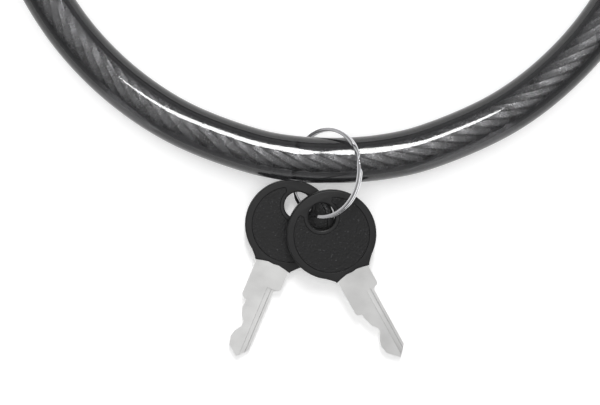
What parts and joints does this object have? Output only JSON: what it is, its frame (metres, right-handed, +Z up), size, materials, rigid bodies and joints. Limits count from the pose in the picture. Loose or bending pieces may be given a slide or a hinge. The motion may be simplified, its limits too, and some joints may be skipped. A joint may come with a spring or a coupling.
{
  "type": "cable lock",
  "caption": "Bicycle cable lock lying closed: a smoky sleeved steel cable loop, an in-line key lock with a pull-out plug, and round-headed keys on a split ring.",
  "frame": {"origin": "on the table under the middle of the lock housing's flat foot", "axes": "+X along the lock barrel towards the plug, +Y out of the keyhole and away from the loop, +Z up from the table"},
  "size_m": [0.2047, 0.2569, 0.0257],
  "materials": {
    "black_plastic": "fine matt moulded plastic",
    "key_plastic": "grained moulded plastic with smooth rims",
    "black_rubber": "soft matt rubber",
    "smoky_pvc": "glossy smoky see-through sleeve",
    "zinc": "plain die-cast zinc",
    "steel": "bright steel",
    "brass": "plain machined brass",
    "nickel": "satin nickel plating",
    "chrome": "bright nickel chrome plating"
  },
  "bodies": {
    "lock": {"housing_jacket": "black_plastic", "fixed_collar": "black_plastic", "socket_collar": "black_plastic", "fixed_boot": "black_rubber", "lock_barrel": "zinc", "latch_cover": "zinc", "cover_screw_1": "steel", "cover_screw_2": "steel", "fixed_ferrule": "steel", "ferrule_pin": "steel", "stator_pin": "steel", "socket_seal": "black_rubber", "keyhole_bezel": "chrome", "dust_cover_screw": "steel", "cylinder_stator": "brass", "cable_core": "steel", "cable_sleeve": "smoky_pvc"},
    "cylinder": {"cylinder_rotor": "brass", "rotor_clip": "steel", "wafer_spring_1": "steel", "wafer_spring_2": "steel", "wafer_spring_3": "steel", "wafer_spring_4": "steel", "wafer_spring_5": "steel"},
    "latch": {"latch_plate": "steel"},
    "plug": {"plug_pin": "steel", "plug_boot": "black_rubber"},
    "dust_cover": {"dust_cover": "black_plastic"},
    "key_ring": {"split_ring": "chrome"},
    "key_1": {"key_1_head": "key_plastic", "key_1_blade": "nickel"},
    "key_2": {"key_2_head": "key_plastic", "key_2_blade": "nickel"},
    "wafer_1": {"wafer_1": "brass"},
    "wafer_2": {"wafer_2": "brass"},
    "wafer_3": {"wafer_3": "brass"},
    "wafer_4": {"wafer_4": "brass"},
    "wafer_5": {"wafer_5": "brass"}
  },
  "joints": [
    {"name": "loop_open", "type": "hinge", "parent": "lock", "child": "plug", "pos_m": [0.01898, -0.18393, 0.0084], "axis": [0, 0, -1], "range_deg": [0, 35], "deforming": ["cable_sleeve", "cable_core"]},
    {"name": "cylinder_turn", "type": "hinge", "parent": "lock", "child": "cylinder", "pos_m": [-0.003, 0, 0.0123], "axis": [0, -1, 0], "range_deg": [0, 90]},
    {"name": "latch_slide", "type": "slide", "parent": "lock", "child": "latch", "axis": [0, 0, 1], "range_m": [0, 0.00184]},
    {"name": "dust_cover_swing", "type": "hinge", "parent": "lock", "child": "dust_cover", "pos_m": [0.0086, 0.0142, 0.0123], "axis": [0, 1, 0], "range_deg": [0, 110]},
    {"name": "ring_swing", "type": "hinge", "parent": "plug", "child": "key_ring", "pos_m": [0.01898, -0.18393, 0.0084], "axis": [-0.9709, -0.2394, 0], "range_deg": [0, 90]},
    {"name": "key_1_swing", "type": "hinge", "parent": "key_ring", "child": "key_1", "pos_m": [0.02141, -0.19836, 0.0076], "axis": [0.1194, -0.0909, 0.9887], "range_deg": [-3, 30]},
    {"name": "key_2_swing", "type": "hinge", "parent": "key_ring", "child": "key_2", "pos_m": [0.01469, -0.19703, 0.00395], "axis": [0.0762, -0.0755, 0.9942], "range_deg": [-30, 3]},
    {"name": "wafer_1_lift", "type": "slide", "parent": "cylinder", "child": "wafer_1", "axis": [0, 0, 1], "range_m": [0, 0.0006], "deforming": ["wafer_spring_1"]},
    {"name": "wafer_2_lift", "type": "slide", "parent": "cylinder", "child": "wafer_2", "axis": [0, 0, -1], "range_m": [0, 0.0006], "deforming": ["wafer_spring_2"]},
    {"name": "wafer_3_lift", "type": "slide", "parent": "cylinder", "child": "wafer_3", "axis": [0, 0, 1], "range_m": [0, 0.0006], "deforming": ["wafer_spring_3"]},
    {"name": "wafer_4_lift", "type": "slide", "parent": "cylinder", "child": "wafer_4", "axis": [0, 0, -1], "range_m": [0, 0.0006], "deforming": ["wafer_spring_4"]},
    {"name": "wafer_5_lift", "type": "slide", "parent": "cylinder", "child": "wafer_5", "axis": [0, 0, 1], "range_m": [0, 0.0006], "deforming": ["wafer_spring_5"]}
  ],
  "couplings": [
    {"joint": "cylinder_turn", "follows": "latch_slide", "rad_per_m": 854.4},
    {"joint": "wafer_2_lift", "follows": "wafer_1_lift", "ratio": 0.75},
    {"joint": "wafer_3_lift", "follows": "wafer_1_lift", "ratio": 0.5},
    {"joint": "wafer_4_lift", "follows": "wafer_1_lift", "ratio": 0.9},
    {"joint": "wafer_5_lift", "follows": "wafer_1_lift", "ratio": 0.65}
  ]
}
